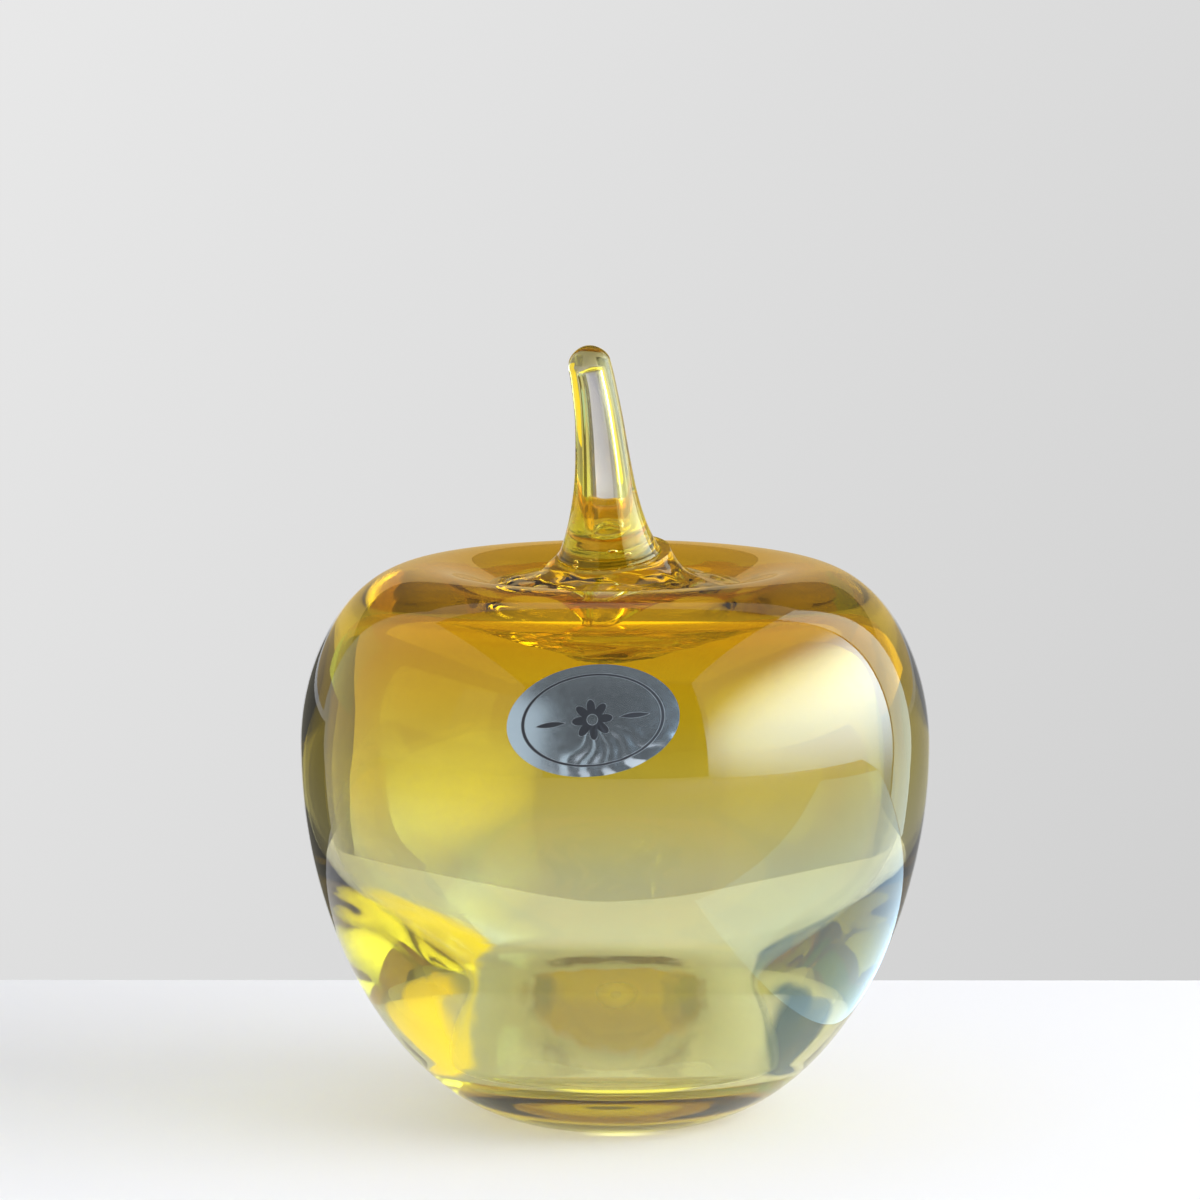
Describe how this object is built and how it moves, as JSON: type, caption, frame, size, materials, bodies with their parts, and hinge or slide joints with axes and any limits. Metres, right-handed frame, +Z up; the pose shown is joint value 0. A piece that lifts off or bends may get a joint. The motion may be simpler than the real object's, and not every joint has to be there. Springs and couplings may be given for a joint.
{
  "type": "art glass apple",
  "caption": "Hollow blown glass apple ornament with a sealed dimple, an applied leaning stem, a foil label on the shoulder and a ground foot to stand on.",
  "frame": {"origin": "middle of the ground foot, on the surface that the apple stands on", "axes": "+Z up along the axis of the blown body towards the stem, -Y towards the front with the label, +X to the right seen from the front"},
  "size_m": [0.102, 0.102, 0.1264],
  "materials": {
    "body_glass": "clear amber at the crest, paling to yellow-green at the foot, fire polished",
    "seal_glass": "clear amber, rippled, fire polished",
    "stem_glass": "clear pale yellow, pulled and fire polished",
    "label_foil": "creased silver foil"
  },
  "bodies": {
    "root": {"blown_body": "body_glass", "neck_seal": "seal_glass", "stem": "stem_glass", "foil_label": "label_foil"}
  },
  "joints": []
}
